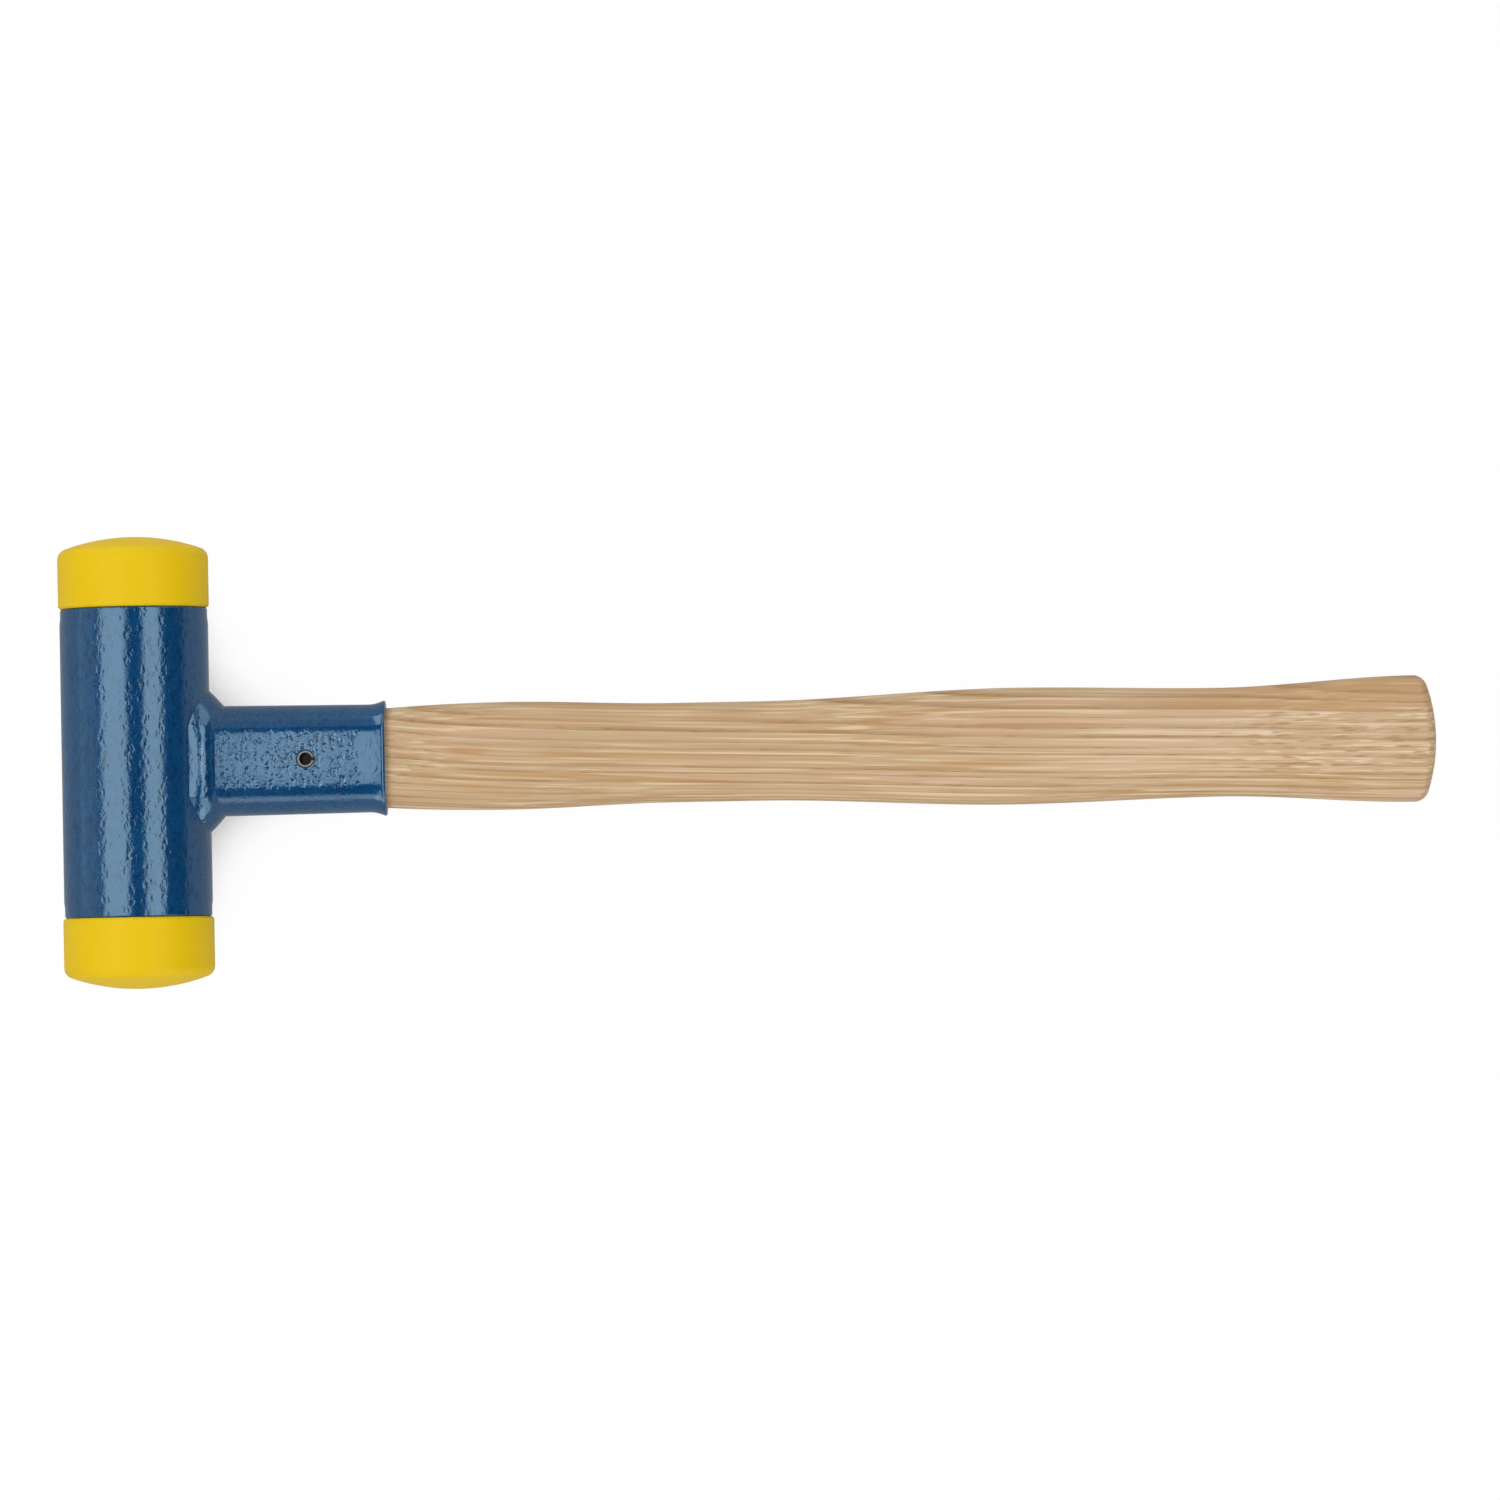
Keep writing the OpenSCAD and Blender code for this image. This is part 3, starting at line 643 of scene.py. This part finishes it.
def oiled_hickory():
    """Ring-porous wood in three dimensions, in mm, with fibres that lean a little across the
    handle and bend aside at its neck. Growth rings about a pith far beside it cross its broad
    sides as long lines: dark with open pores where a ring starts, pale where it ends. Streaks
    run along the fibres, and short flecks show near the butt."""
    material, wire, shader, place = new_finish("oiled_hickory")
    fibre_lean = 0.024
    neck_x, neck_fade, neck_turn = -96, 40, 2.4
    pith_aside, pith_below = 105, 10
    ring_w = 2.2
    ring_tones = [(0, 0.1), (0.08, 1.0), (0.2, 0.75), (0.42, 0.2), (0.75, 0.0), (1, 0.1)]
    whole = wire.node("Mapping", None, {"Vector": place, "Scale": (1 / mm, 1 / mm, 1 / mm)})
    x, y, z = (wire.node("SeparateXYZ", None, {0: whole}, axis) for axis in "XYZ")
    turned_aside = wire.maths("EXPONENT", (x - neck_x) * (-1 / neck_fade)) * neck_turn
    aside = y + x * fibre_lean - turned_aside
    wood = wire.node("CombineXYZ", None, {0: x, 1: aside, 2: z})

    def drawn(solid, along, across):
        """Coordinates whose unit is so long along the handle and so long across it."""
        unit = (1 / along, 1 / across, 1 / across)
        return wire.node("Mapping", None, {"Vector": solid, "Scale": unit})

    def streaks(along, across, detail=2.0):
        """Noise drawn out along the fibres, with features of these lengths."""
        return wire.noise(drawn(wood, along, across), 1, detail)

    sway = streaks(190, 26) * 1.8 + streaks(40, 5) * 0.35
    depth = wire.maths("SQRT", (aside + pith_aside) ** 2 + (z + pith_below) ** 2) + sway
    uneven = wire.node("TexNoise", {"noise_dimensions": "1D"},
                       {"W": depth / 6, "Scale": 1, "Detail": 1})
    ring = depth / ring_w + uneven * 1.3
    start = wire.node("ValToRGB", {"stops": ring_tones}, {0: wire.maths("FRACT", ring)})
    ring_number = wire.maths("FLOOR", ring)
    lot = wire.node("TexWhiteNoise", {"noise_dimensions": "1D"}, {"W": ring_number}, "Value")
    early = start * (0.4 + lot * 0.6) * (0.5 + wire.ease(streaks(90, 1.8), 0.35, 0.6) * 0.5)
    vessel = wire.node("TexVoronoi", None, {"Vector": drawn(wood, 7, 0.45), "Scale": 1})
    pore = (1 - wire.ease(vessel, 0.1, 0.36)) * wire.ease(early, 0.12, 0.6)
    fibre = streaks(22, 0.3, 3)
    cream = wire.ease(streaks(80, 0.8, 1), 0.5, 0.68)
    gold = wire.ease(streaks(90, 1.1, 1), 0.54, 0.7)
    pink = wire.ease(streaks(42, 4.5), 0.52, 0.68)
    middle = 1 - wire.ease(wire.maths("ABSOLUTE", y), 6, 11)
    near_butt = wire.ease(x, 112, 140) * middle
    strokes = drawn(whole, 6, 0.75)
    off_stroke, tone = (wire.node("TexVoronoi", None, {"Vector": strokes, "Scale": 1}, out)
                        for out in ("Distance", "Color"))
    dash = (1 - wire.ease(off_stroke, 0.2, 0.5)) * near_butt
    # Paler along the middle of both broad sides, from about 55 mm along x, fading back beyond 118 mm.
    paler_middle = (wire.ease(x, 55, 105) - wire.ease(x, 118, 150) * 0.7) * middle
    far_edge = wire.ease(x, 95, 130) * wire.ease(y, 6, 10)
    colour = wire.tint(fibre, srgb(173, 141, 100), srgb(216, 188, 152))
    for share, stain in ((pink * 0.4, srgb(210, 168, 144)),
                         (paler_middle * 0.35, srgb(220, 190, 162)),
                         (cream * 0.7, srgb(226, 204, 168)),
                         (gold * 0.65, srgb(184, 138, 80)),
                         (dash * wire.ease(tone, 0.5, 0.4) * 0.65, srgb(230, 206, 180)),
                         (dash * wire.ease(tone, 0.52, 0.62) * 0.7, srgb(164, 130, 96)),
                         (far_edge * 0.45, srgb(192, 146, 96)),
                         (early * 0.9, srgb(150, 110, 64)),
                         (pore * 0.6, srgb(134, 98, 60))):
        colour = wire.tint(share, colour, stain)
    height = fibre * 0.03 - pore * 0.05 - early * 0.02
    bump = wire.node("Bump", None, {"Strength": 0.6, "Distance": mm, "Height": height})
    wire.feed(shader, {"Base Color": colour, "Roughness": 0.5 + pore * 0.2, "Normal": bump,
                       "Specular IOR Level": 0.3})
    return material


handle = add_piece("hickory_handle", skin(whole_handle(), loop=False), oiled_hickory(),
                   "hammer", "hickory", "handle")
drill_for_pin(handle)


# Spring pin: a strip of spring steel rolled into a slotted tube. It is driven through
# the painted socket and the tang, and stays bare.
def spring_steel():
    """Bare rolled steel, dull grey from its heat treatment."""
    material, wire, shader, place = new_finish("spring_steel")
    stain = wire.noise(place, 900, 3)
    wire.feed(shader, {"Base Color": wire.tint(stain, srgb(112, 114, 114), srgb(146, 148, 146)),
                       "Metallic": 0.6, "Roughness": 0.45 + stain * 0.2})
    return material


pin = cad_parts["spring_pin"]
pin.data.materials.clear()
pin.data.materials.append(spring_steel())


# Studio: a sheet of white paper that touches the head and the butt, as the hammer lies on
# it, in a room with a dark ceiling, with softboxes over it and low lamps at the sides.
lean = np.arctan2(butt_half[1] - (head[2] - cad_box[0][2]), butt_x)
floor_far = 6.0
room_grey = 0.36
ceiling_grey = 0.04
contact_reach = 40 * mm
# Painted shadow on the paper: a dark oval about the floor spot seen through the pin, with these half
# lengths, a fully dark core and its darkest level.
through_pin = pin_centre + np.array([-1.0, 0.4, 0.0]) * mm
shadow_oval_half = np.array([20, 11]) * mm
shadow_oval_core, shadow_oval_darkest = 0.18, 0.025


def white_paper():
    """Matt paper that shines its own white into the camera and a grey into reflections. A painted
    contact shadow darkens its colour and its glow where the hammer hides more than half of the sky.
    A painted shadow is deepest below the socket, in a long oval about the spot that shows through the
    pin."""
    material, wire, shader, place = new_finish("white_paper")
    camera_ray, glossy_ray, clear_ray = (wire.node("LightPath", out=ray) for ray in (
        "Is Camera Ray", "Is Glossy Ray", "Is Transmission Ray"))
    direct = wire.maths("MAXIMUM", camera_ray, clear_ray)
    open_sky = wire.node("AmbientOcclusion", {"samples": 16}, {"Distance": contact_reach}, "AO")
    shadow = 1 - wire.ease(open_sky, 0.1, 0.5)
    off_spot = wire.node("VectorMath", {"operation": "SUBTRACT"}, {0: place, 1: through_pin})
    oval = wire.node("Mapping", None, {"Vector": off_spot, "Scale": (*(1 / shadow_oval_half), 0)})
    reach = wire.node("VectorMath", {"operation": "LENGTH"}, {0: oval}, "Value")
    outside_shadow_oval = shadow_oval_darkest + wire.ease(reach, shadow_oval_core, 1.0) * (1 - shadow_oval_darkest)
    # Painted shadow in the paper's colour: darker with the contact shadow and in the oval.
    lit = outside_shadow_oval * (1 - shadow * 0.6)
    wire.feed(shader, {"Base Color": wire.tint(lit, srgb(30, 30, 30), srgb(228, 228, 228)),
                       "Roughness": 1.0})
    white = wire.tint(direct, (room_grey, room_grey, room_grey, 1), (1, 1, 1, 1))
    glow = wire.node("Emission", None, {"Color": white, "Strength": 1.0})
    # The glow is dimmed by the same painted shadow, so the paper turns dark below the socket.
    seen = wire.maths("MAXIMUM", direct * (0.985 - shadow * 0.9), glossy_ray * 0.95) * outside_shadow_oval
    paper = Wire(wire.tree, shader.outputs[0])
    mixed = wire.node("MixShader", None, {0: seen, 1: paper, 2: glow})
    wire.feed(wire.tree.nodes["Material Output"], {"Surface": mixed})
    return material


studio = bpy.context.scene
corner_x = np.array([-1, 1, 1, -1]) * floor_far
corner_y = np.array([-1, -1, 1, 1]) * floor_far
corner_z = cad_box[0][2] - np.tan(lean) * (corner_x - head[0])
sheet = bpy.data.meshes.new("floor")
sheet.from_pydata(np.stack([corner_x, corner_y, corner_z], axis=-1).tolist(), [], [(0, 1, 2, 3)])
sheet.materials.append(white_paper())
floor = bpy.data.objects.new("floor", sheet)
studio.collection.objects.link(floor)

studio.view_settings.view_transform = "Standard"
world = bpy.data.worlds.new("studio")
studio.world = world
world.use_nodes = True
room = Wire(world.node_tree)
height = room.node("SeparateXYZ", None, {0: room.node("TexCoord", out="Generated")}, "Z")
room.feed(world.node_tree.nodes["Background"], {
    "Color": (1, 1, 1, 1),
    "Strength": room_grey - room.ease(height, 0.0, 0.12) * (room_grey - ceiling_grey)})


def softbox(name, place, aim, size, level):
    """A flat lamp that faces a point. Its level is the brightness of its face, where a white
    sheet in full light is 1: a lamp's power spreads over its area and a half space of pi."""
    lamp = bpy.data.lights.new(name, "AREA")
    lamp.shape = "RECTANGLE"
    lamp.size, lamp.size_y = size
    lamp.energy = level * np.pi * size[0] * size[1]
    box = bpy.data.objects.new(name, lamp)
    forward = np.array(aim) - place
    forward /= np.linalg.norm(forward)
    across = np.cross(forward, (0, 1, 0))
    across /= np.linalg.norm(across)
    turn = np.stack([across, np.cross(-forward, across), -forward], axis=1)
    box.matrix_world = Matrix.Translation(place) @ Matrix(turn.tolist()).to_4x4()
    box.visible_camera = False
    studio.collection.objects.link(box)
    return box


box_level = 2.05
wall_y, wall_h, wall_aim = 1.0, 0.84, 0.1
softbox("softbox_over_handle", place=(0.32, 0.0, 0.75), aim=(0.32, 0.0, 0.0),
        size=(0.504, 1.3), level=box_level)
softbox("softbox_left", place=(-0.616, 0.0, 0.8175), aim=(head[0], 0.0, barrel_high[2]),
        size=(0.682, 1.3), level=box_level)
softbox("wall_left", place=(-1.5, 0.0, wall_h / 2), aim=(head[0], 0.0, wall_h / 2),
        size=(wall_h, 2.0), level=0.45)
softbox("wall_far", place=(-0.125, wall_y, 0.345), aim=(-0.125, 0.0, wall_aim),
        size=(0.4, 0.68), level=0.25)
softbox("strip_front_low", place=(-0.05, -wall_y, 0.17), aim=(-0.05, 0.0, 0.02),
        size=(0.7, 0.26), level=1.15)
for side, y, left, right in (("near", -wall_y, 1.05, 1.6), ("far", wall_y, 1.75, 1.15)):
    softbox("wall_left_" + side, place=(-0.75, y, wall_h / 2), aim=(-0.75, 0.0, wall_aim),
            size=(0.9, wall_h), level=left)
    softbox("wall_right_" + side, place=(0.6, y, wall_h / 2), aim=(0.6, 0.0, wall_aim),
            size=(1.1, wall_h), level=right)
over_socket = softbox("softbox_over_socket", place=(-0.1232, 0.0029, 0.13),
                      aim=(-0.1232, 0.0029, 0.0), size=(0.0505, 0.0192), level=box_level)
screened = bpy.data.collections.new("lit_over_socket")
for piece in (socket, weld, pin):
    screened.objects.link(piece)
over_socket.light_linking.receiver_collection = screened


# Camera: far above the hammer with a long lens, leaned a little towards the near face and
# turned about its axis so that the handle rises slightly to the right.
frame_pixels = 1500
pixel = 0.2656 * mm
frame_width = pixel * frame_pixels
lens_mm, sensor_mm = 200, 36
distance = frame_width * lens_mm / sensor_mm
tilt = np.radians(1.3)
roll = np.radians(1.1)
target = np.array([0.57 * mm, 0.31 * mm, head[2]])
backward = np.array([0, -np.sin(tilt), np.cos(tilt)])
rightward = np.array([np.cos(roll), -np.sin(roll) * np.cos(tilt), -np.sin(roll) * np.sin(tilt)])
upward = np.cross(backward, rightward)
lens = bpy.data.cameras.new("camera")
lens.lens = lens_mm
lens.sensor_width = sensor_mm
lens.clip_end = 20
camera = bpy.data.objects.new("camera", lens)
camera.matrix_world = Matrix.Translation(target + backward * distance) @ Matrix(
    np.stack([rightward, upward, backward], axis=1).tolist()).to_4x4()
studio.collection.objects.link(camera)
studio.camera = camera
